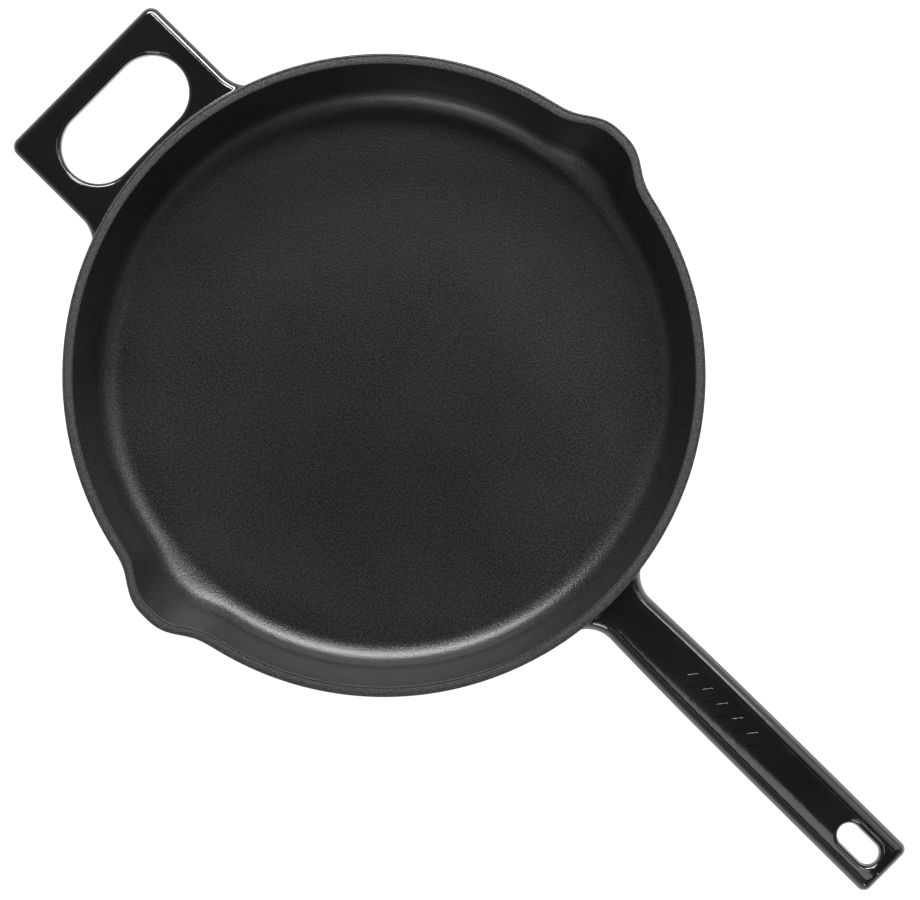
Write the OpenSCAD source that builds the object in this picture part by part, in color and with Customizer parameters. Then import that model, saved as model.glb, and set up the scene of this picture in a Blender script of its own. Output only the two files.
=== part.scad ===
// Enamelled cast iron skillet with two pouring lips, a long handle and a helper handle.
// The origin is the centre of the flat base, +Z is up, the long handle runs along -Y, the
// helper handle along +Y, and the pouring lips point to +X and -X. Units are millimetres.
// The iron is a single casting, drawn as its four regions, and the enamel lies on it in coats.

/* [Pan] */
// Inside diameter at the rim
rim_inner_d = 280; // [240:5:320]
// Depth from the rim to the cooking surface
pan_depth = 40; // [32:1:60]
// Lean of the wall away from vertical, in degrees
wall_flare = 11.7; // [5:0.1:20]
// Radius of the inside corner between floor and wall
corner_r = 11.5; // [6:0.5:14]
// Thickness of wall and floor, both coats included
wall_t = 4.2; // [3.6:0.1:5]
// Height that the flat base stands proud of the underside
base_h = 0.8; // [0.5:0.1:1.5]
// Distance from the edge of the flat base to the start of the corner
base_inset = 6; // [4:0.5:30]

/* [Pouring lips] */
// How far a lip stands out beyond the round rim
lip_out = 8.4; // [3:0.1:12]
// Angle from a lip's middle to where it is half as proud
lip_half_angle = 6.3; // [5:0.1:9]

/* [Enamel] */
// Thickness of each coat
enamel_t = 0.4; // [0.3:0.05:0.5]

/* [Long handle] */
// Length from the rim to the handle's end
grip_l = 171.6; // [130:0.2:200]
// Width over most of the handle
grip_w = 28.2; // [24:0.2:32]
// Width at the neck beside the pan
neck_w = 25.6; // [20:0.2:28]
// Thickness from top face to underside
grip_t = 11.5; // [8:0.5:14]
// How far the top face lies below the rim, where it meets the pan
grip_drop = 4; // [2:0.5:6]
// How much higher the top face is at the end than at the pan
grip_rise = 12; // [0:1:20]
// Width of the hollow in the top face
trough_w = 20; // [14:0.2:21]
// Depth of the hollow along its middle
trough_d = 1.8; // [1:0.1:2.5]
// Radius of the fillet between handle and wall, seen from above
grip_fillet = 16; // [8:1:16]
// Width of the hanging slot at its mouths
slot_w = 13; // [10:0.5:14]
// Length of the hanging slot at its mouths
slot_l = 24; // [18:0.5:26]
// How far the slot's wall stands in, halfway through the handle
slot_waist = 1.4; // [0.2:0.1:2]
// Distance from the slot's middle to the handle's end
slot_in = 18; // [15:0.5:30]

/* [Helper handle] */
// Length from the rim to the handle's outer edge
helper_l = 48.8; // [42:0.1:60]
// Width of the handle
helper_w = 91.2; // [80:0.2:110]
// Thickness of the plate
helper_t = 9; // [7:0.5:11]
// How far the top face lies below the rim
helper_drop = 4; // [2:0.5:6]
// Width of the bars that frame the finger hole
helper_bar = 11.8; // [8:0.1:13]
// Width of the ledge between the rim and the finger hole
helper_ledge = 3.1; // [1.5:0.1:4]
// Radius of the outer corners
helper_corner = 5; // [3:0.5:8]
// Radius of the fillet between handle and wall, seen from above
helper_fillet = 17; // [10:1:18]

/* [Hidden] */

$fn = 96;

// Heights
underside_z = base_h;                        // underside around the flat base
floor_z = underside_z + wall_t;              // cooking surface
rim_z = floor_z + pan_depth;
shell_top = rim_z - enamel_t;                // where the rim's own coat starts
corner_z = floor_z + corner_r;               // centre of the inside corner's arc

// Radii
rim_r = rim_inner_d / 2;
rim_outer_r = rim_r + wall_t / cos(wall_flare);
turn_angle = 90 - wall_flare;                // how far the inside corner turns
floor_r = rim_r - corner_r * cos(wall_flare) // where the flat floor ends
    - (pan_depth - corner_r * (1 - sin(wall_flare))) * tan(wall_flare);
base_r = floor_r - base_inset;

// Depths of the iron's two faces below the cooking surface, measured square to it
iron_in = enamel_t;
iron_out = wall_t - enamel_t;

// Steps of the wall's facets
corner_steps = 5;
wall_steps = 3;
lip_steps = 20;
side_steps = 38;
lip_reach = 14;                              // angle from a lip's middle to its end
lip_sharpness = 2.95;

// Angles of the wall's profile planes, closer together across the two lips
side_span = 180 - 2 * lip_reach;
half_turn = concat(
    [for (i = [0 : lip_steps - 1]) lip_reach * (2 * i / lip_steps - 1)],
    [for (i = [0 : side_steps - 1]) lip_reach + side_span * i / side_steps]);
turn = concat(half_turn, [for (a = half_turn) a + 180]);

// How far a lip pushes the rim out, at an angle
function lip_distance(a) = abs((a + 90) % 180 - 90);
function lip_bell(d) = exp(-ln(2) * pow(d / lip_half_angle, lip_sharpness));
function lip_push(a) = let (d = lip_distance(a))
    d >= lip_reach ? 0 : lip_out * (lip_bell(d) - lip_bell(lip_reach));
// Share of that push lower down: none at the floor, all of it at the rim
function lip_share(z) = sqrt(max(0, min(1, (z - floor_z) / pan_depth)));

// Radius of the straight wall at a height and a depth below the cooking surface
function wall_r(z, depth) = rim_r + depth / cos(wall_flare) - (rim_z - z) * tan(wall_flare);

// The wall's section at a depth, as points of radius, height and share of the lip's push
function corner_point(a, depth) = [
    floor_r + (corner_r + depth) * sin(a),
    corner_z - (corner_r + depth) * cos(a),
    lip_share(corner_z - corner_r * cos(a))
];
function wall_point(k, depth) = let (
    low = corner_z - (corner_r + depth) * cos(turn_angle),
    inner_low = corner_z - corner_r * cos(turn_angle),
    z = low + (shell_top - low) * k
) [wall_r(z, depth), z, lip_share(inner_low + (rim_z - inner_low) * k)];
function section(depth) = concat(
    [for (i = [0 : corner_steps]) corner_point(turn_angle * i / corner_steps, depth)],
    [for (i = [1 : wall_steps]) wall_point(i / wall_steps, depth)]);
function reversed(list) = [for (i = [len(list) - 1 : -1 : 0]) list[i]];
function last(list) = list[len(list) - 1];

// A section's point, turned to an angle and pushed out where a lip is
function placed(p, a) = let (r = p[0] + p[2] * lip_push(a)) [r * cos(a), r * sin(a), p[1]];

// Closed ring whose section is a loop of points
module ring(loop) {
    n = len(loop);
    m = len(turn);
    polyhedron(
        points = [for (a = turn) for (p = loop) placed(p, a)],
        faces = [for (i = [0 : m - 1]) for (j = [0 : n - 1]) let (
            here = i * n, next = ((i + 1) % m) * n, k = (j + 1) % n
        ) each [[here + j, here + k, next + k], [here + j, next + k, next + j]]]);
}

// Closed dish between two sections, with its floor carried on to the axis
module dish(upper, lower) {
    loop = concat(upper, reversed(lower));
    n = len(loop);
    m = len(turn);
    top_pole = m * n;
    bottom_pole = top_pole + 1;
    polyhedron(
        points = concat(
            [for (a = turn) for (p = loop) placed(p, a)],
            [[0, 0, upper[0][1]], [0, 0, lower[0][1]]]),
        faces = [for (i = [0 : m - 1]) let (here = i * n, next = ((i + 1) % m) * n) each concat(
            [for (j = [0 : n - 2]) each [
                [here + j + 1, here + j, next + j],
                [here + j + 1, next + j, next + j + 1]]],
            [[here, top_pole, next], [here + n - 1, next + n - 1, bottom_pole]])]);
}

// Cone along the wall at a depth below the cooking surface, which trims a handle's root
module wall_cone(depth) {
    top_z = rim_z + 20;
    translate([0, 0, corner_z])
        cylinder(r1 = wall_r(corner_z, depth), r2 = wall_r(top_z, depth), h = top_z - corner_z);
}

// Plan of the fillet between a round wall and a handle's straight side at y = side
module root_fillet(side, radius, wall) {
    centre = [sqrt(pow(wall + radius, 2) - pow(side + radius, 2)), side + radius];
    difference() {
        polygon([[0, 0], [centre[0], 0], centre]);
        translate(centre) circle(r = radius);
    }
}

// Round-ended plan, of a length along X and a width along Y
module stadium(length, width) {
    straight = length - width;
    square([straight, width], center = true);
    for (s = [-1, 1]) translate([s * straight / 2, 0]) circle(d = width);
}

// Handles are drawn along +X and then turned to their places.
// An inset shrinks a handle all round, by a coat's thickness for its iron.
module at_front() { rotate([0, 0, -90]) children(); }
module at_back() { rotate([0, 0, 90]) children(); }

grip_end = rim_outer_r + grip_l;
grip_top = rim_z - grip_drop;
grip_slope = atan(grip_rise / grip_l);
grip_corner = 3.2;                           // corners of the handle's end
grip_root = rim_outer_r - 14;                // hidden start, inside the wall
neck_x = rim_outer_r + 11;                   // end of the narrow neck
full_x = rim_outer_r + 61;                   // start of the full width
trough_x = rim_outer_r + 3;
trough_end = grip_end - 2.8;
trough_r = (pow(trough_w / 2, 2) + pow(trough_d, 2)) / (2 * trough_d);

mark_n = 5;                                  // raised lozenges in the hollow
mark_mid = 0.4 * grip_l;                     // from the rim to the middle of their row
mark_pitch = 9.3;
mark_l = 7;                                  // a lozenge's length along the handle
mark_w = 9.2;                                // and its width across the handle
mark_h = 0.7;                                // how far it stands up from the hollow
mark_sink = 0.2;                             // how far it reaches into the hollow's coat

module grip_plan(inset) {
    end = grip_end - inset;
    wide = grip_w / 2 - inset;
    neck = neck_w / 2 - inset;
    corner_x = end - grip_corner;
    corner_y = wide - grip_corner;
    polygon([
        [grip_root, -neck], [neck_x, -neck], [full_x, -wide], [corner_x, -wide],
        [corner_x, -corner_y], [end, -corner_y], [end, corner_y], [corner_x, corner_y],
        [corner_x, wide], [full_x, wide], [neck_x, neck], [grip_root, neck]]);
    for (s = [-1, 1]) translate([corner_x, s * corner_y]) circle(r = grip_corner);
    for (s = [0, 1]) mirror([0, s])
        root_fillet(neck, grip_fillet + inset, wall_r(grip_top - grip_t, wall_t));
}

// Moves what is drawn at the handle's root onto its sloping top face
module on_grip_top() {
    translate([rim_outer_r, 0, grip_top]) rotate([0, -grip_slope, 0]) children();
}

// The cylinder that hollows the top face, made larger all round
module hollow(more) {
    on_grip_top() translate([trough_x - rim_outer_r - more, 0, trough_r - trough_d])
        rotate([0, 90, 0]) cylinder(r = trough_r + more, h = trough_end - trough_x + 2 * more);
}

// Slot square to the top face, narrowest halfway through the handle
module hanging_slot(inset) {
    straight = slot_l - slot_w;
    waist = slot_w / 2 + inset - slot_waist;
    wide = waist + 2 * slot_waist;           // a half thickness beyond each face
    on_grip_top() translate([(grip_l - slot_in) / cos(grip_slope), 0, -grip_t / 2]) {
        for (s = [-1, 1]) translate([s * straight / 2, 0]) rotate_extrude() polygon([
            [0, -grip_t], [wide, -grip_t], [waist, 0], [wide, grip_t], [0, grip_t]]);
        translate([-straight / 2, 0]) rotate([90, 0, 90]) linear_extrude(straight) polygon([
            [wide, -grip_t], [waist, 0], [wide, grip_t],
            [-wide, grip_t], [-waist, 0], [-wide, -grip_t]]);
    }
}

module grip_solid(inset) {
    difference() {
        intersection() {
            linear_extrude(2 * rim_z) grip_plan(inset);
            on_grip_top() translate([-20, -grip_w, inset - grip_t])
                cube([grip_l + 40, 2 * grip_w, grip_t - 2 * inset]);
        }
        hollow(inset);
        hanging_slot(inset);
    }
}

// Row of raised lozenges in the hollow
module grip_marks() {
    first = mark_mid - (mark_n - 1) / 2 * mark_pitch;
    intersection() {
        difference() {
            hollow(mark_sink);
            hollow(-mark_h);
        }
        on_grip_top() for (i = [0 : mark_n - 1])
            translate([first + i * mark_pitch, 0, -grip_t])
                linear_extrude(grip_t) polygon([
                    [-mark_l / 2, 0], [0, -mark_w / 2], [mark_l / 2, 0], [0, mark_w / 2]]);
    }
}

helper_end = rim_outer_r + helper_l;
helper_top = rim_z - helper_drop;
helper_root = rim_outer_r - 34;              // hidden start, inside the wall
hole_in = rim_outer_r + helper_ledge;
hole_w = helper_end - helper_bar - hole_in;

module helper_plan(inset) {
    end = helper_end - inset;
    half = helper_w / 2 - inset;
    corner_x = end - helper_corner;
    corner_y = half - helper_corner;
    difference() {
        union() {
            translate([helper_root, -half]) square([corner_x - helper_root, 2 * half]);
            translate([helper_root, -corner_y]) square([end - helper_root, 2 * corner_y]);
            for (s = [-1, 1]) translate([corner_x, s * corner_y]) circle(r = helper_corner);
            for (s = [0, 1]) mirror([0, s])
                root_fillet(half, helper_fillet + inset, wall_r(helper_top - helper_t, wall_t));
        }
        translate([hole_in + hole_w / 2, 0]) rotate([0, 0, 90])
            stadium(helper_w - 2 * helper_bar + 2 * inset, hole_w + 2 * inset);
    }
}

module helper_solid(inset) {
    translate([0, 0, helper_top - helper_t + inset])
        linear_extrude(helper_t - 2 * inset) helper_plan(inset);
}

module iron_floor() {
    pad_r = base_r - enamel_t;
    low = underside_z + enamel_t;
    color("dimgray") rotate_extrude() polygon([
        [0, enamel_t], [pad_r, enamel_t], [pad_r, low],
        [floor_r, low], [floor_r, floor_z - enamel_t], [0, floor_z - enamel_t]]);
}

module iron_wall() {
    color("dimgray") ring(concat(section(iron_out), reversed(section(iron_in))));
}

module iron_long_handle() {
    color("dimgray") at_front() difference() {
        grip_solid(enamel_t);
        wall_cone(iron_out);
    }
}

module iron_helper_handle() {
    color("dimgray") at_back() difference() {
        helper_solid(enamel_t);
        wall_cone(iron_out);
    }
}

module interior_enamel() {
    color([0.2, 0.2, 0.2]) dish(section(0), section(iron_in));
}

module rim_ground_coat() {
    color([0.35, 0.35, 0.35]) ring([
        last(section(0)), last(section(wall_t)),
        [wall_r(rim_z, wall_t), rim_z, 1], [wall_r(rim_z, 0), rim_z, 1]]);
}

module exterior_enamel() {
    color([0.08, 0.08, 0.08]) difference() {
        ring(concat(section(wall_t), reversed(section(iron_out))));
        at_front() grip_solid(enamel_t);
        at_back() helper_solid(enamel_t);
    }
}

module base_enamel() {
    low = underside_z + enamel_t;
    color([0.12, 0.12, 0.12]) rotate_extrude() polygon([
        [0, 0], [base_r, 0], [base_r, underside_z], [floor_r, underside_z],
        [floor_r, low], [base_r - enamel_t, low], [base_r - enamel_t, enamel_t], [0, enamel_t]]);
}

module long_handle_enamel() {
    color([0.08, 0.08, 0.08]) at_front() {
        difference() {
            grip_solid(0);
            grip_solid(enamel_t);
            wall_cone(wall_t);
        }
        grip_marks();
    }
}

module helper_handle_enamel() {
    color([0.08, 0.08, 0.08]) at_back() difference() {
        helper_solid(0);
        helper_solid(enamel_t);
        wall_cone(wall_t);
    }
}

iron_floor();
iron_wall();
iron_long_handle();
iron_helper_handle();
interior_enamel();
rim_ground_coat();
exterior_enamel();
base_enamel();
long_handle_enamel();
helper_handle_enamel();
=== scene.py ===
import math

import bpy
import numpy as np
from mathutils import Euler, Matrix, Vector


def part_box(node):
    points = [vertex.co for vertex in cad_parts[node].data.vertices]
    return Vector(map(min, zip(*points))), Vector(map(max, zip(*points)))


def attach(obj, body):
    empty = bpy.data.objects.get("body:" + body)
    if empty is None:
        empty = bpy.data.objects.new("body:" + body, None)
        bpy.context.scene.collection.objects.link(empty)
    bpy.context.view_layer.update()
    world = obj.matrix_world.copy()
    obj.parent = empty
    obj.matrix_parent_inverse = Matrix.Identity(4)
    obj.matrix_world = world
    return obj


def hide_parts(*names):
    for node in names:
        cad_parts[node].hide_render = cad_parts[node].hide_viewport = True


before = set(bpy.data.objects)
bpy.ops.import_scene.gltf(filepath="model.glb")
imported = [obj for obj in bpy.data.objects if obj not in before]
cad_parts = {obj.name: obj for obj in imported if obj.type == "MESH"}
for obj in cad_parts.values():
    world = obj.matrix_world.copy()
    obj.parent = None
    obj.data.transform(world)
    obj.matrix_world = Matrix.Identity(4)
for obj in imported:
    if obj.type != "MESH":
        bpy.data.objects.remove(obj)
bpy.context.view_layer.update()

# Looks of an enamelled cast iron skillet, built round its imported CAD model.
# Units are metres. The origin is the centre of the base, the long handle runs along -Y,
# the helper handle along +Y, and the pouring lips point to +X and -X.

MM = 0.001

# ---------------------------------------------------------------------------
# Dimensions: from the frame where a node's box gives them, else by name
# ---------------------------------------------------------------------------

rim_low, rim_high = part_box("rim_ground_coat")
wall_low, wall_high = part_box("exterior_enamel")
grip_low, grip_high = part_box("long_handle_enamel")
helper_low, helper_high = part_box("helper_handle_enamel")
floor_low, floor_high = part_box("iron_floor")

ENAMEL = rim_high.z - wall_high.z          # thickness of each coat
RIM_Z = rim_high.z
RIM_OUTER = rim_high.y                     # the rim's outer radius, away from the lips
LIP_OUT = rim_high.x - rim_high.y          # how far the lips stand out
FLOOR_Z = floor_high.z + ENAMEL            # cooking surface
FLOOR_R = floor_high.y                     # where the flat floor ends
UNDER_Z = wall_low.z                       # underside around the flat base
BASE_R = FLOOR_R - 6 * MM                  # where the raised flat of the base ends
BASE_STEP = 0.5 * MM                       # rounding at the foot of that flat's edge
BASE_LEAN = 1 * MM                         # how far its edge leans outwards

FLARE = math.radians(11.7)                 # lean of the wall
CORNER = 11.5 * MM                         # inside corner between floor and wall
WALL = FLOOR_Z - UNDER_Z
RIM_INNER = RIM_OUTER - WALL / math.cos(FLARE)
RIM_BEAD = 0.3 * MM                        # how far enamel built up at the rim stands into the bowl
RIM_EDGE_IN = 0.45 * MM                    # rounding of the rim's inner edge
RIM_EDGE_OUT = 1.0 * MM                    # rounding of its outer edge
RIM_CROWN = 12                             # degrees by which the crowned rim slopes at its edges
RIM_SLACK = 1 * MM                         # how far the crown's rounding is short of a full arc
BASE_EDGE = 0.35 * MM                      # rounding of the edge that the pan stands on

LIP_HALF = 6.3                             # degrees from a lip's middle to where it is half as far out
LIP_SHARPNESS = 2.95                       # how square a lip's outline is
LIP_REACH = 14.0                           # degrees from a lip's middle to its ends
LIP_FADE = 0.05                            # share of the depth over which a lip fades out at the floor

GRIP_END = -grip_low.y
GRIP_TOP = RIM_Z - 4 * MM                  # top face at the rim
GRIP_SLOPE = math.atan2(grip_high.z - GRIP_TOP, GRIP_END - RIM_OUTER)
GRIP_T = 11.5 * MM
GRIP_NECK = 12.8 * MM                      # half-width at the neck
GRIP_HALF = 14.1 * MM                      # half-width further out
NECK_U = RIM_OUTER + 6 * MM                # where the width starts to grow
NECK_EASE = 23 * MM                        # length over which it grows
GRIP_CORNER = 3.8 * MM                     # corners of the end, in plan
GRIP_DRAFT = math.radians(22)              # lean of the sides' upper half
GRIP_ROUND = 3.5 * MM                      # rounding between the top face and the sides
GRIP_UNDER = 5 * MM                        # rounding between the sides and the underside
GRIP_FILLET = 15 * MM                      # root fillet, in plan
TROUGH_NECK = 9.5 * MM                     # half of the hollow's width at the neck
TROUGH_HALF = 10.1 * MM                    # half of its width further out
TROUGH_DEPTH = 1.8 * MM
TROUGH_END = GRIP_END - 2.8 * MM           # where the hollow ends
TROUGH_EASE = 1.0 * MM                     # rounding of the hollow's end
CREST = 0.25 * MM                          # rounding of the hollow's edge
SLOT_U = GRIP_END - 18 * MM                # middle of the hanging slot
SLOT_HALF = 5.5 * MM                       # half of the slot's straight part
SLOT_R = 6.5 * MM                          # at its mouths
SLOT_WAIST = 1.4 * MM                      # how far its wall stands in, halfway through
SLOT_ROUND = 1.4 * MM                      # rounding of its edges

MARK_U = RIM_OUTER + 0.4 * (GRIP_END - RIM_OUTER)    # middle of the row of raised lozenges
MARK_COUNT = 5
MARK_GAP = 9.3 * MM                        # from one to the next
MARK_LONG = 3.5 * MM                       # half of a lozenge's length
MARK_T = 4.6 * MM                          # half of its width
MARK_HIGH = 0.7 * MM                       # above the hollow
MARK_SINK = 0.3 * MM                       # below the hollow
MARK_POINT = 0.4 * MM                      # rounding of its points, in plan
MARK_ROUND = 0.45 * MM                     # rounding of its top edge
MARK_FOOT = 0.1 * MM                       # rounding of its bottom edge

HELPER_END = helper_high.y
HELPER_TOP = helper_high.z
HELPER_LOW = helper_low.z
HELPER_HALF = 45.6 * MM                    # half of the plate's width
HELPER_CORNER = 5 * MM                     # outer corners, in plan
HELPER_FILLET = 15.5 * MM                  # root fillet, in plan
HELPER_BAR = 11.8 * MM                     # from the finger hole to the plate's edge
HELPER_ROUND = 4.4 * MM                    # rounding of the plate's edge, almost a full round
HOLE_ROUND = 2.7 * MM                      # rounding of the hole's edge
HOLE_IN = RIM_OUTER + 3.1 * MM             # the hole's side nearest the bowl
HOLE_R = (HELPER_END - HELPER_BAR - HOLE_IN) / 2
HOLE_HALF = HELPER_HALF - HELPER_BAR - HOLE_R        # half of its straight part

ROOT_FILLET = 2.5 * MM                     # concave fillet where a handle meets the wall
TUCK = 0.02 * MM                           # how far a fillet's edge lies under the wall's face
CORE_EDGE = 1.5 * MM                       # rounding that trims the thin tips of the handles' iron

FLOOR_GLOW = 0.95                          # light the table gives off by itself

SHARP = math.radians(40)                   # edges sharper than this are shaded as creases
TURN_STEPS = 720                           # around the bowl
ARC_STEPS = 14                             # along each rounding of the bowl's section
FLAT_STEP = 12 * MM                        # longest step along the floor and the base
WALL_STEP = 2.5 * MM                       # longest step up the wall
GRIP_GRID = 0.6 * MM                       # cells that the handles' meshes are made from
HELPER_GRID = 0.6 * MM
CORE_GRID = 1.5 * MM
MARK_GRID = 0.25 * MM


# ---------------------------------------------------------------------------
# Meshes
# ---------------------------------------------------------------------------

def vertex_normals(points, faces):
    """Area-weighted normals of a mesh whose faces are rows of four. Triangles repeat their last point."""
    corners = points[faces]
    across = np.cross(corners[:, 2] - corners[:, 0], corners[:, 3] - corners[:, 1])
    normals = np.zeros_like(points)
    for k in range(4):
        np.add.at(normals, faces[:, k], across)
    return normals / np.maximum(np.linalg.norm(normals, axis=1, keepdims=True), 1e-20)


def open_edges(faces):
    """Directed edges that only one face has."""
    edges = np.concatenate([faces[:, [k, (k + 1) % 4]] for k in range(4)])
    edges = edges[edges[:, 0] != edges[:, 1]]
    count = faces.max() + 1
    forward = edges[:, 0] * count + edges[:, 1]
    backward = edges[:, 1] * count + edges[:, 0]
    return edges[~np.isin(forward, backward)]


def thicken(points, faces, depth):
    """Closed shell between an open skin and the same skin sunk by a depth."""
    inner = points - depth * vertex_normals(points, faces)
    count = len(points)
    rim = open_edges(faces)
    sides = np.column_stack([rim[:, 1], rim[:, 0], rim[:, 0] + count, rim[:, 1] + count])
    return np.concatenate([points, inner]), np.concatenate([faces, faces[:, ::-1] + count, sides])


def make_object(name, points, faces, material):
    """Smooth mesh object that rides on the skillet's body."""
    mesh = bpy.data.meshes.new(name)
    polygons = [list(dict.fromkeys(face)) for face in faces.tolist()]
    mesh.from_pydata(points.tolist(), [], polygons)
    mesh.polygons.foreach_set("use_smooth", [True] * len(mesh.polygons))
    mesh.set_sharp_from_angle(angle=SHARP)
    mesh.materials.append(material)
    piece = bpy.data.objects.new(name, mesh)
    bpy.context.scene.collection.objects.link(piece)
    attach(piece, "root")
    return piece


# ---------------------------------------------------------------------------
# Bowl: a section turned about Z and pushed out at the two lips
# ---------------------------------------------------------------------------

def rounded(corners, steps):
    """Polyline of (radius, height) with its corners rounded. A corner is (radius, height, rounding)."""
    points = [np.array(corners[0][:2])]
    for before, corner, after in zip(corners, corners[1:], corners[2:]):
        at = np.array(corner[:2])
        to_before = np.array(before[:2]) - at
        to_after = np.array(after[:2]) - at
        to_before /= np.linalg.norm(to_before)
        to_after /= np.linalg.norm(to_after)
        half = math.acos(np.clip(to_before @ to_after, -1, 1)) / 2
        middle = (to_before + to_after) / np.linalg.norm(to_before + to_after)
        centre = at + middle * corner[2] / math.sin(half)
        start = at + to_before * corner[2] / math.tan(half) - centre
        end = at + to_after * corner[2] / math.tan(half) - centre
        turn = math.pi - 2 * half
        for k in range(steps + 1):
            share = k / steps
            points.append(centre + (
                start * math.sin((1 - share) * turn) + end * math.sin(share * turn)) / math.sin(turn))
    points.append(np.array(corners[-1][:2]))
    return np.array(points)


def filled(points, longest):
    """The same polyline with its long stretches cut into equal steps."""
    out = [points[0]]
    for a, b in zip(points, points[1:]):
        count = max(1, math.ceil(np.linalg.norm(b - a) / longest))
        out += [a + (b - a) * (k + 1) / count for k in range(count)]
    return np.array(out)


def lip_push(turn):
    """How far the rim is pushed out at an angle about Z, in degrees."""
    def bell(away):
        return np.exp(-math.log(2) * (away / LIP_HALF) ** LIP_SHARPNESS)
    away = np.abs((turn + 90) % 180 - 90)
    return LIP_OUT * np.where(away < LIP_REACH, bell(away) - bell(LIP_REACH), 0) / (1 - bell(LIP_REACH))


def turned(section):
    """Surface of a section that runs outwards on top and inwards below, with the lips pushed out."""
    turn = np.arange(TURN_STEPS) * 360 / TURN_STEPS
    height = np.clip((section[:, 1] - FLOOR_Z) / (RIM_Z - FLOOR_Z), 0, 1)
    share = np.sqrt(height) * (1 - np.exp(-height / LIP_FADE))
    radius = section[None, :, 0] + share[None, :] * lip_push(turn)[:, None] * (section[None, :, 0] > 0)
    angle = np.radians(turn)[:, None]
    height = np.broadcast_to(section[None, :, 1], radius.shape)
    points = np.stack([radius * np.cos(angle), radius * np.sin(angle), height], axis=-1)
    count = len(section)
    here = np.arange(TURN_STEPS)[:, None] * count + np.arange(count - 1)[None, :]
    there = (np.arange(TURN_STEPS)[:, None] + 1) % TURN_STEPS * count + np.arange(count - 1)[None, :]
    faces = np.stack([here, here + 1, there + 1, there], axis=-1).reshape(-1, 4)
    points = points.reshape(-1, 3)
    for end in (0, count - 1):
        if section[end, 0] == 0:            # every turn shares the point on the axis
            faces[faces % count == end] = end
    used, faces = np.unique(faces, return_inverse=True)
    return points[used], faces.reshape(-1, 4)


def wall_line(height, depth):
    """Radius of the straight wall at a height, at a depth below the cooking surface."""
    return RIM_INNER + depth / math.cos(FLARE) - (RIM_Z - height) * math.tan(FLARE)


def bowl_sections():
    """Sections of the cooking surface, the rim, the outside and the base."""
    slope = math.radians(RIM_CROWN)
    half = (RIM_OUTER - RIM_INNER + RIM_BEAD) / 2
    crown = half * math.tan(slope / 2)
    arch = half / math.sin(slope) - RIM_SLACK
    around = rounded([
        (0, FLOOR_Z, 0),
        (wall_line(FLOOR_Z, 0), FLOOR_Z, CORNER),
        (RIM_INNER - RIM_BEAD, RIM_Z - crown, RIM_EDGE_IN),
        (RIM_OUTER - half, RIM_Z - crown + half * math.tan(slope), arch),
        (RIM_OUTER, RIM_Z - crown, RIM_EDGE_OUT),
        (wall_line(UNDER_Z, WALL), UNDER_Z, CORNER + WALL),
        (BASE_R + BASE_LEAN, UNDER_Z, BASE_STEP),
        (BASE_R, 0, BASE_EDGE),
        (0, 0, 0)], ARC_STEPS)
    arc = ARC_STEPS + 1                     # points in each rounded corner
    floor = filled(around[:arc + 1], FLAT_STEP)
    inner_wall = filled(around[arc:arc + 2], WALL_STEP)
    rim = around[arc + 1:4 * arc + 1]
    outer = filled(around[4 * arc:5 * arc + 2], WALL_STEP)
    base = filled(around[5 * arc + 1:], FLAT_STEP)
    return np.concatenate([floor, inner_wall[1:]]), rim, outer, base


# ---------------------------------------------------------------------------
# Handles: distance fields in (u, t, z), u out along the handle and t across it
# ---------------------------------------------------------------------------

def blend_union(a, b, radius):
    """Union of two distance fields, with a concave fillet between them."""
    fillet = np.hypot(np.maximum(radius - a, 0), np.maximum(radius - b, 0))
    return np.maximum(radius, np.minimum(a, b)) - fillet


def blend_cut(a, b, radius):
    """Intersection of two distance fields, with a rounded edge between them."""
    edge = np.hypot(np.maximum(radius + a, 0), np.maximum(radius + b, 0))
    return np.minimum(-radius, np.maximum(a, b)) + edge


def flared_side(u, t, half, fillet):
    """Distance to a handle's side at t = half, which flares tangent into the round wall."""
    wall = wall_line(GRIP_TOP, WALL)
    centre_t = half + fillet
    centre_u = np.sqrt((wall + fillet) ** 2 - centre_t ** 2)
    flare = fillet - np.hypot(centre_u - u, centre_t - t)
    beyond = (t * centre_u - u * centre_t) / (wall + fillet)
    return np.where(u < centre_u, np.maximum(flare, beyond), t - half)


def wall_field(u, t, z):
    """Distance to the wall's outer face, from outside it."""
    return (np.hypot(u, t) - wall_line(z, WALL)) * math.cos(FLARE)


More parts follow.
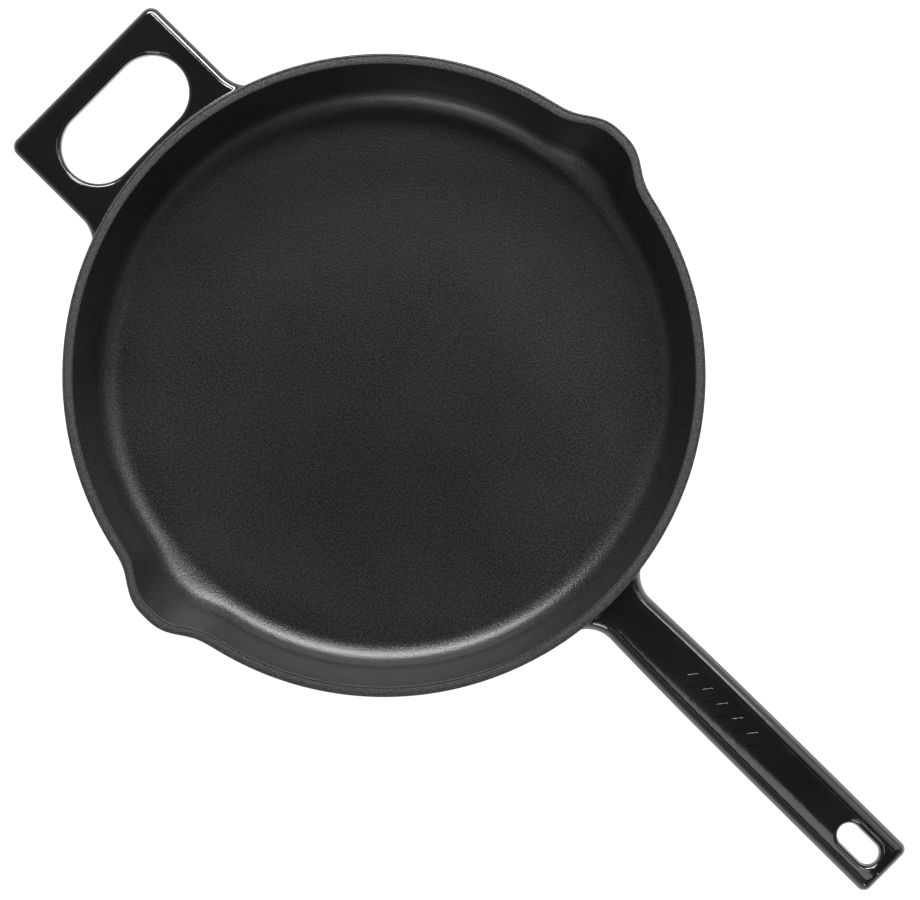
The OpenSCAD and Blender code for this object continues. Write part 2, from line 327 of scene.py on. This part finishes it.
def grip_parts(u, t, z):
    """Distances to the long handle's bar, to what hollows its top face and to its slot."""
    t = np.abs(t)
    grow = 1 - np.exp(-np.maximum(u - NECK_U, 0) / NECK_EASE)
    half = GRIP_NECK + (GRIP_HALF - GRIP_NECK) * grow ** 2
    side = flared_side(u, t, half, GRIP_FILLET)
    plan = blend_cut(side, u - GRIP_END, GRIP_CORNER)
    top = (z - GRIP_TOP) * math.cos(GRIP_SLOPE) - (u - RIM_OUTER) * math.sin(GRIP_SLOPE)
    lean = plan * math.cos(GRIP_DRAFT) + (top + GRIP_T / 2) * math.sin(GRIP_DRAFT)
    body = blend_cut(np.maximum(plan, lean), top, GRIP_ROUND)
    body = blend_cut(body, -top - GRIP_T, GRIP_UNDER)
    crest = TROUGH_NECK + (TROUGH_HALF - TROUGH_NECK) * grow ** 2
    across = np.maximum((side + half) / crest, 0)
    hollow = top + TROUGH_DEPTH * (1 - across ** 2)
    hollow = -blend_cut(-hollow, u - TROUGH_END, TROUGH_EASE)
    along = (u - RIM_OUTER) * math.cos(GRIP_SLOPE) + (z - GRIP_TOP) * math.sin(GRIP_SLOPE)
    slot_u = (SLOT_U - RIM_OUTER) / math.cos(GRIP_SLOPE)
    waist = SLOT_WAIST * (1 - np.abs(top + GRIP_T / 2) / (GRIP_T / 2))
    slot = np.hypot(np.maximum(np.abs(along - slot_u) - SLOT_HALF, 0), t) - SLOT_R + waist
    return body, hollow, slot


def grip_field(u, t, z):
    """Distance to the long handle."""
    body, hollow, slot = grip_parts(u, t, z)
    return blend_cut(blend_cut(body, hollow, CREST), -slot, SLOT_ROUND)


def helper_field(u, t, z):
    """Distance to the helper handle."""
    t = np.abs(t)
    side = flared_side(u, t, HELPER_HALF, HELPER_FILLET)
    plan = blend_cut(side, u - HELPER_END, HELPER_CORNER)
    middle = (HELPER_TOP + HELPER_LOW) / 2
    plate = np.abs(z - middle) - (HELPER_TOP - HELPER_LOW) / 2
    body = blend_cut(plan, plate, HELPER_ROUND)
    hole = np.hypot(u - HOLE_IN - HOLE_R, np.maximum(t - HOLE_HALF, 0)) - HOLE_R
    return blend_cut(body, -hole, HOLE_ROUND)


def mark_field(u, t, z):
    """Distance to the row of raised lozenges in the hollow."""
    hollow = grip_parts(u, t, z)[1]
    away = np.abs((u - MARK_U + MARK_GAP / 2) % MARK_GAP - MARK_GAP / 2)
    long_side = np.hypot(away, MARK_POINT) * MARK_T
    plan = long_side + np.hypot(t, MARK_POINT) * MARK_LONG - MARK_LONG * MARK_T
    row = np.abs(u - MARK_U) - MARK_COUNT / 2 * MARK_GAP
    plan = np.maximum(plan / math.hypot(MARK_LONG, MARK_T), row)
    return blend_cut(blend_cut(plan, hollow - MARK_HIGH, MARK_ROUND), -hollow - MARK_SINK, MARK_FOOT)


def on_wall(field):
    """The same handle, joined to the wall by its root fillet."""
    def joined(u, t, z):
        return blend_union(field(u, t, z), wall_field(u, t, z) + TUCK, ROOT_FILLET)
    return joined


def core_of(field):
    """The iron inside a handle. It starts at the wall's iron and leaves out its fillet's thin tips."""
    def core(u, t, z):
        return blend_cut(field(u, t, z) + ENAMEL, -wall_field(u, t, z) - ENAMEL, CORE_EDGE)
    return core


def gradient(field, points, step=0.01 * MM):
    """Numerical gradient of a field at points."""
    shifts = np.eye(3) * step
    return np.stack([
        (field(*(points + shift).T) - field(*(points - shift).T)) / (2 * step) for shift in shifts], axis=-1)


def settle(field, points, rounds=4):
    """Moves points onto the surface where a field is zero."""
    for _ in range(rounds):
        slope = gradient(field, points)
        size = np.maximum((slope ** 2).sum(axis=1), 0.05)
        points = points - slope * (field(*points.T) / size)[:, None]
    return points


def surface_net(field, low, high, step):
    """Quad mesh of the surface where a field is zero, within a box."""
    axes = [np.arange(a, b + step, step) for a, b in zip(low, high)]
    values = field(*np.meshgrid(*axes, indexing="ij"))
    shape = np.array(values.shape)
    corners = np.array([[i, j, k] for i in (0, 1) for j in (0, 1) for k in (0, 1)])
    total = np.zeros((*(shape - 1), 3))
    hits = np.zeros(shape - 1)
    for a in corners:
        for b in corners:
            if (b - a).min() < 0 or (b - a).sum() != 1:
                continue
            va = values[tuple(slice(s, s + n - 1) for s, n in zip(a, shape))]
            vb = values[tuple(slice(s, s + n - 1) for s, n in zip(b, shape))]
            crossed = (va < 0) != (vb < 0)
            share = np.where(crossed, va / np.where(crossed, va - vb, 1), 0)
            total += np.where(crossed[..., None], a + (b - a) * share[..., None], 0)
            hits += crossed
    cells = np.argwhere(hits > 0)
    number = np.full(shape - 1, -1)
    number[tuple(cells.T)] = np.arange(len(cells))
    points = (cells + total[tuple(cells.T)] / hits[tuple(cells.T)][:, None]) * step + np.array(low)
    faces = []
    for axis in range(3):
        b, c = (axis + 1) % 3, (axis + 2) % 3
        first = np.moveaxis(values < 0, axis, 0)[:-1]
        second = np.moveaxis(values < 0, axis, 0)[1:]
        changed = np.moveaxis(first != second, 0, axis)
        at = np.argwhere(changed)
        at = at[(at[:, b] > 0) & (at[:, c] > 0) & (at[:, b] < shape[b] - 1) & (at[:, c] < shape[c] - 1)]
        filled_first = (values < 0)[tuple(at.T)]
        ring = []
        for db, dc in ((-1, -1), (0, -1), (0, 0), (-1, 0)):
            cell = at.copy()
            cell[:, b] += db
            cell[:, c] += dc
            ring.append(number[tuple(cell.T)])
        ring = np.stack(ring, axis=-1)
        faces.append(np.where(filled_first[:, None], ring, ring[:, ::-1]))
    return points, np.concatenate(faces)


def relaxed(field, points, faces, rounds=3):
    """Evens out a mesh along its surface."""
    edges = np.concatenate([faces[:, [k, (k + 1) % 4]] for k in range(4)])
    edge_points = np.unique(open_edges(faces))
    for _ in range(rounds):
        total = np.zeros_like(points)
        count = np.zeros(len(points))
        for a, b in ((0, 1), (1, 0)):
            np.add.at(total, edges[:, a], points[edges[:, b]])
            np.add.at(count, edges[:, a], 1)
        moved = total / np.maximum(count, 1)[:, None]
        moved[edge_points] = points[edge_points]
        points = settle(field, moved, 2)
    return points


def only(points, faces, keep):
    """The part of a mesh whose faces are kept."""
    used, faces = np.unique(faces[keep], return_inverse=True)
    return points[used], faces.reshape(-1, 4)


def handle_skin(field, low, high, step):
    """The handle's outer face with its root fillet, open where it meets the wall."""
    joined = on_wall(field)
    points, faces = surface_net(joined, low, high, step)
    points = relaxed(joined, settle(joined, points), faces)
    near = field(*points.T) < ROOT_FILLET + 0.5 * MM
    return only(points, faces, near[faces].all(axis=1))


def placed(points, direction):
    """From a handle's (u, t, z) to the skillet's frame. direction is -1 for -Y and 1 for +Y."""
    u, t, z = points.T
    return np.column_stack([-direction * t, direction * u, z])


# ---------------------------------------------------------------------------
# Materials
# ---------------------------------------------------------------------------

def new_material(name):
    """New material and its node tree."""
    material = bpy.data.materials.new(name)
    material.use_nodes = True
    return material, material.node_tree


def add(tree, kind, inputs=None, **settings):
    """New node with its settings and its inputs, which are values or other nodes' outputs."""
    made = tree.nodes.new(kind)
    for key, value in settings.items():
        setattr(made, key, value)
    for key, value in (inputs or {}).items():
        if isinstance(value, bpy.types.NodeSocket):
            tree.links.new(value, made.inputs[key])
        else:
            made.inputs[key].default_value = value
    return made


def noise(tree, place, size, detail=2.0, roughness=0.5):
    """Noise between 0 and 1 whose grains are about size metres across."""
    made = add(tree, "ShaderNodeTexNoise", {
        "Vector": place, "Scale": 1 / size, "Detail": detail, "Roughness": roughness})
    return made.outputs["Fac"]


def spread(tree, value, low, high, from_low=0.3, from_high=0.7):
    """A value between from_low and from_high, spread between low and high."""
    made = add(tree, "ShaderNodeMapRange", {
        "Value": value, "From Min": from_low, "From Max": from_high, "To Min": low, "To Max": high})
    return made.outputs["Result"]


def shade(tree, value, dark, light):
    """Colour between two greys or colours, by a value."""
    made = add(tree, "ShaderNodeMix", {0: value, 6: (*dark, 1), 7: (*light, 1)}, data_type="RGBA")
    return made.outputs[2]


def bump(tree, layers):
    """Normal from layers of (height between 0 and 1, depth in metres)."""
    normal = None
    for height, depth in layers:
        inputs = {"Height": height, "Distance": depth, "Strength": 1.0}
        if normal:
            inputs["Normal"] = normal
        normal = add(tree, "ShaderNodeBump", inputs).outputs["Normal"]
    return normal


def satin_enamel():
    """Interior: satin black, finely grained, with painted shade making the middle darker and the outer floor
    painted lighter, standing in for how the light falls.
    """
    material, tree = new_material("satin_black_enamel")
    place = add(tree, "ShaderNodeTexCoord").outputs["Object"]
    grain = noise(tree, place, 1.0 * MM, 3, 0.6)
    cloud = spread(tree, noise(tree, place, 45 * MM, 3), 0.44, 0.56)
    speckle = add(tree, "ShaderNodeMath", {0: grain, 1: cloud}, operation="ADD").outputs[0]
    speckle = spread(tree, speckle, 0, 1, 0.8, 1.2)
    reach = add(tree, "ShaderNodeVectorMath", {0: place}, operation="LENGTH").outputs["Value"]
    # Painted shade and painted light: a darker colour in the middle and a lighter one on the outer floor
    # stand in for how the light falls there.
    painted_shade_middle = shade(tree, speckle, (0.0, 0.0002, 0.0001), (0.0075, 0.008, 0.0078))
    painted_light_outer = shade(tree, speckle, (0.001, 0.0013, 0.0012), (0.0158, 0.0166, 0.0162))
    colour = add(tree, "ShaderNodeMix", {
        0: spread(tree, reach, 0, 1, 50 * MM, 110 * MM), 6: painted_shade_middle, 7: painted_light_outer}, data_type="RGBA").outputs[2]
    surface = tree.nodes["Principled BSDF"]
    tree.links.new(colour, surface.inputs["Base Color"])
    tree.links.new(spread(tree, grain, 0.28, 0.38), surface.inputs["Roughness"])
    tree.links.new(bump(tree, [(grain, 0.15 * MM)]), surface.inputs["Normal"])
    surface.inputs["IOR"].default_value = 1.5
    return material


def ground_coat():
    """Rim and base: dry, dark grey and rougher."""
    material, tree = new_material("matte_ground_coat")
    place = add(tree, "ShaderNodeTexCoord").outputs["Object"]
    grain = noise(tree, place, 0.8 * MM, 3, 0.6)
    surface = tree.nodes["Principled BSDF"]
    speckle = spread(tree, grain, 0, 1, 0.36, 0.64)
    tree.links.new(shade(tree, speckle, (0.0, 0.0005, 0.0005), (0.034, 0.035, 0.035)),
                   surface.inputs["Base Color"])
    tree.links.new(spread(tree, grain, 0.7, 0.55), surface.inputs["Roughness"])
    tree.links.new(bump(tree, [(grain, 0.18 * MM)]), surface.inputs["Normal"])
    surface.inputs["IOR"].default_value = 1.5
    return material


def gloss_enamel():
    """Outside and handles: gloss black with a faint orange peel."""
    material, tree = new_material("gloss_black_enamel")
    place = add(tree, "ShaderNodeTexCoord").outputs["Object"]
    peel = noise(tree, place, 4 * MM, 3)
    surface = tree.nodes["Principled BSDF"]
    cloud = spread(tree, noise(tree, place, 30 * MM, 2), 0, 1)
    tree.links.new(shade(tree, cloud, (0.0022, 0.0022, 0.0022), (0.0045, 0.0045, 0.0045)),
                   surface.inputs["Base Color"])
    tree.links.new(spread(tree, noise(tree, place, 12 * MM, 4), 0.08, 0.14), surface.inputs["Roughness"])
    tree.links.new(bump(tree, [(peel, 0.035 * MM), (noise(tree, place, 1.0 * MM, 2), 0.004 * MM)]),
                   surface.inputs["Normal"])
    surface.inputs["IOR"].default_value = 1.53
    return material


def cast_iron():
    """Bare casting under the enamel: grainy grey."""
    material, tree = new_material("grey_cast_iron")
    place = add(tree, "ShaderNodeTexCoord").outputs["Object"]
    grain = noise(tree, place, 1.5 * MM, 4, 0.6)
    surface = tree.nodes["Principled BSDF"]
    tree.links.new(shade(tree, spread(tree, grain, 0, 1), (0.09, 0.09, 0.092), (0.16, 0.16, 0.163)),
                   surface.inputs["Base Color"])
    tree.links.new(spread(tree, grain, 0.6, 0.8), surface.inputs["Roughness"])
    tree.links.new(bump(tree, [(grain, 0.15 * MM)]), surface.inputs["Normal"])
    surface.inputs["Metallic"].default_value = 0.7
    return material


def pale_floor():
    """White table, lit from within as well, so that it stays near white under the skillet's shadow."""
    material, tree = new_material("pale_floor")
    place = add(tree, "ShaderNodeTexCoord").outputs["Object"]
    surface = tree.nodes["Principled BSDF"]
    cloud = spread(tree, noise(tree, place, 0.4, 2), 0, 1)
    tree.links.new(shade(tree, cloud, (0.24, 0.24, 0.24), (0.26, 0.26, 0.26)), surface.inputs["Base Color"])
    surface.inputs["Roughness"].default_value = 0.9
    surface.inputs["Specular IOR Level"].default_value = 0.1
    surface.inputs["Emission Color"].default_value = (1, 1, 1, 1)
    surface.inputs["Emission Strength"].default_value = FLOOR_GLOW
    return material


# ---------------------------------------------------------------------------
# Pieces
# ---------------------------------------------------------------------------

SATIN = satin_enamel()
GROUND = ground_coat()
GLOSS = gloss_enamel()
IRON = cast_iron()

inner_section, rim_section, outer_section, base_section = bowl_sections()


def bowl_piece(name, section, material, slot, *nodes):
    """A coat of the bowl, as thick as the enamel."""
    points, faces = thicken(*turned(section), ENAMEL)
    piece = make_object(name, points, faces, material)
    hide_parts(*nodes)


bowl_piece("cooking_surface", inner_section, SATIN, "satin_enamel", "interior_enamel")
bowl_piece("rim", rim_section, GROUND, "ground_coat", "rim_ground_coat")
bowl_piece("outside_of_bowl", outer_section, GLOSS, "gloss_enamel", "exterior_enamel")
bowl_piece("base", base_section, GROUND, "ground_coat", "base_enamel")


def handle_pieces(name, field, low, high, step, direction, enamel_node, iron_node):
    """A handle's coat and the iron inside it."""
    points, faces = handle_skin(field, low, high, step)
    skin = make_object(name, *thicken(placed(points, direction), faces, ENAMEL), GLOSS)
    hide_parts(enamel_node)
    points, faces = surface_net(core_of(field), low, high, CORE_GRID)
    core = make_object(name + "_core", placed(points, direction), faces, IRON)
    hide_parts(iron_node)


# Each box holds its handle with the root fillet. Its first corner also sets where the grid falls.
handle_pieces(
    "long_handle", grip_field,
    (RIM_OUTER - 8.45 * MM, -28 * MM, GRIP_TOP - GRIP_T - 5 * MM),
    (GRIP_END + 2 * MM, 28 * MM, grip_high.z + 2 * MM),
    GRIP_GRID, -1, "long_handle_enamel", "iron_long_handle")
handle_pieces(
    "helper_handle", helper_field,
    (RIM_OUTER - 26 * MM, -68 * MM, HELPER_LOW - 5 * MM),
    (HELPER_END + 2 * MM, 68 * MM, RIM_Z + 1 * MM),
    HELPER_GRID, 1, "helper_handle_enamel", "iron_helper_handle")

points, faces = surface_net(
    mark_field,
    (MARK_U - 3 * MARK_GAP, -6 * MM, GRIP_TOP), (MARK_U + 3 * MARK_GAP, 6 * MM, grip_high.z), MARK_GRID)
marks = make_object("raised_lozenges", placed(settle(mark_field, points), -1), faces, GLOSS)

for name in ("iron_floor", "iron_wall"):
    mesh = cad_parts[name].data
    mesh.materials.clear()
    mesh.materials.append(IRON)


# ---------------------------------------------------------------------------
# Stage, light and camera
# ---------------------------------------------------------------------------

CAMERA_TURN = -45.35                       # degrees: the long handle points to the lower right
CAMERA_AHEAD = 47.75 * MM                  # from the middle towards the long handle
CAMERA_SIDE = 0.13 * MM                    # across that line, towards +X
CAMERA_HEIGHT = 1.15                       # above the rim
CAMERA_LENS = 100.43                       # focal length in millimetres
TABLE_HALF = 4                             # half of the table's width
TABLE_GAP = 0.2 * MM                       # keeps the table's face clear of the base's


def make_floor():
    """The table that the skillet stands on."""
    mesh = bpy.data.meshes.new("table")
    corners = [(-1, -1), (1, -1), (1, 1), (-1, 1)]
    mesh.from_pydata([(TABLE_HALF * x, TABLE_HALF * y, 0) for x, y in corners], [], [(0, 1, 2, 3)])
    mesh.materials.append(pale_floor())
    table = bpy.data.objects.new("table", mesh)
    table.location.z = -TABLE_GAP
    bpy.context.scene.collection.objects.link(table)


def make_world(horizon, overhead):
    """Surroundings that are brighter at the horizon than overhead."""
    world = bpy.data.worlds.new("studio")
    bpy.context.scene.world = world
    world.use_nodes = True
    tree = world.node_tree
    direction = add(tree, "ShaderNodeTexCoord").outputs["Generated"]
    height = add(tree, "ShaderNodeSeparateXYZ", {"Vector": direction}).outputs["Z"]
    strength = spread(tree, height, horizon, overhead, 0.15, 0.75)
    tree.links.new(strength, tree.nodes["Background"].inputs["Strength"])
    tree.nodes["Background"].inputs["Color"].default_value = (1, 1, 1, 1)


def softbox(name, side, tilt, distance, width, height, radiance, roll=0):
    """Area light that faces the bowl. Side is in degrees from the view's right, tilt from overhead."""
    light = bpy.data.lights.new(name, "AREA")
    light.shape = "RECTANGLE"
    light.size = width
    light.size_y = height
    light.energy = radiance * math.pi * width * height
    lamp = bpy.data.objects.new(name, light)
    a = math.radians(side + CAMERA_TURN)
    b = math.radians(tilt)
    lamp.location = (
        distance * math.cos(a) * math.sin(b), distance * math.sin(a) * math.sin(b),
        distance * math.cos(b) + RIM_Z)
    facing = Euler((b, 0, a + math.pi / 2)).to_matrix() @ Matrix.Rotation(math.radians(roll), 3, "Z")
    lamp.rotation_euler = facing.to_euler()
    bpy.context.scene.collection.objects.link(lamp)


def make_camera():
    """Straight overhead, a little towards the long handle."""
    data = bpy.data.cameras.new("camera")
    data.lens = CAMERA_LENS
    data.sensor_width = 36
    camera = bpy.data.objects.new("camera", data)
    camera.location = (CAMERA_SIDE, -CAMERA_AHEAD, RIM_Z + CAMERA_HEIGHT)
    camera.rotation_euler = (0, 0, math.radians(CAMERA_TURN))
    bpy.context.scene.collection.objects.link(camera)
    bpy.context.scene.camera = camera


make_floor()
make_world(horizon=0.56, overhead=0.13)
softbox("key", side=90, tilt=59.5, distance=1.66, width=1.7, height=0.5, radiance=24)
softbox("key_left", side=121, tilt=60, distance=1.6, width=0.4, height=0.2, radiance=8)
softbox("key_right", side=51, tilt=55, distance=1.41, width=0.8, height=0.26, radiance=10)
softbox("top", side=86, tilt=35.5, distance=1.6, width=0.3, height=0.26, radiance=30)
softbox("fill", side=255, tilt=69, distance=2.6, width=0.92, height=0.65, radiance=9)
softbox("right", side=25, tilt=35.3, distance=1.72, width=0.7, height=0.42, radiance=2.5, roll=-41)
softbox("right_low", side=29, tilt=68, distance=1.45, width=0.5, height=0.7, radiance=1.6)
softbox("left_strip", side=241, tilt=38.5, distance=1.48, width=0.8, height=0.06, radiance=11)
make_camera()
bpy.context.scene.view_settings.view_transform = "Standard"
